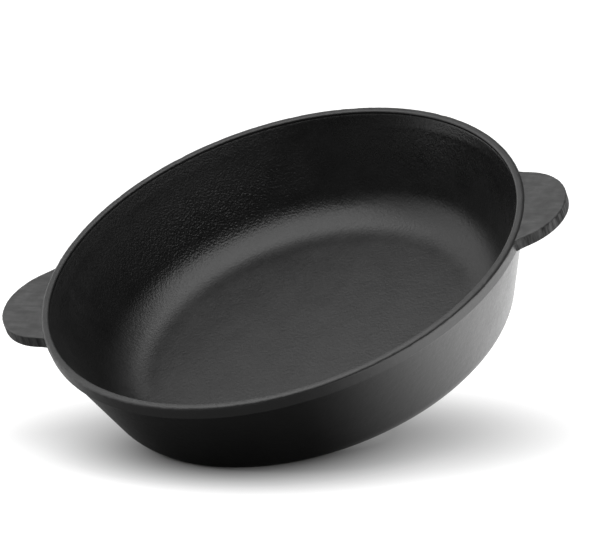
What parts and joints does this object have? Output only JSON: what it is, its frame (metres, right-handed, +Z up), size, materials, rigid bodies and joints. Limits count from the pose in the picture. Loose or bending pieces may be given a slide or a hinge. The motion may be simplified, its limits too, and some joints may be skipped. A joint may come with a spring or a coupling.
{
  "type": "cast iron braiser",
  "caption": "Shallow round open pan in black cast iron for braising, with a flared wall, a thick collar round the mouth and solid rounded tab ears on opposite sides.",
  "frame": {"origin": "centre of the flat base, on the surface that the pan stands on", "axes": "+Z up along the pan's axis, +X through the right ear, +Y across the ears"},
  "size_m": [0.3506, 0.2998, 0.0675],
  "materials": {
    "black_iron": "matte black seasoned sand casting, fine pebbled skin",
    "ground_black_iron": "matte black over ground metal, faint grinding marks"
  },
  "bodies": {
    "root": {"pan_floor": "black_iron", "base_corner": "black_iron", "side_wall": "black_iron", "rim_collar": "ground_black_iron", "right_ear": "ground_black_iron", "left_ear": "ground_black_iron"}
  },
  "joints": []
}
